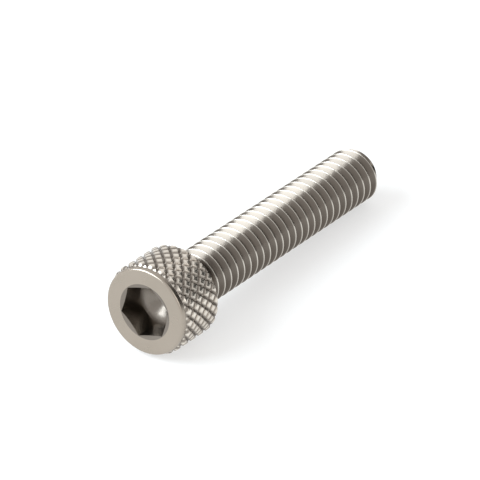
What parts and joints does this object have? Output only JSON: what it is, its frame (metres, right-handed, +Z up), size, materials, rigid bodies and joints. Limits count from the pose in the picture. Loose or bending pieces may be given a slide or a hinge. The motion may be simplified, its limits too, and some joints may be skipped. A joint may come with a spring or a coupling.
{
  "type": "hex socket cap screw",
  "caption": "Socket head cap screw with a diamond-knurled round head, a hexagon socket for a key and a thread along its whole shank, for clamping parts together.",
  "frame": {"origin": "centre of the bearing face under the head, on the screw's axis", "axes": "+Z up; the screw's axis runs from the head towards +Y and dips about 3.4 degrees towards the tip, because it lies on its head's rim and its tip; the socket faces -Y"},
  "size_m": [0.0068, 0.0266, 0.007],
  "materials": {
    "nickel_steel": "smooth bright steel with a warm grey tone"
  },
  "bodies": {
    "root": {"cap_screw": "nickel_steel"}
  },
  "joints": []
}
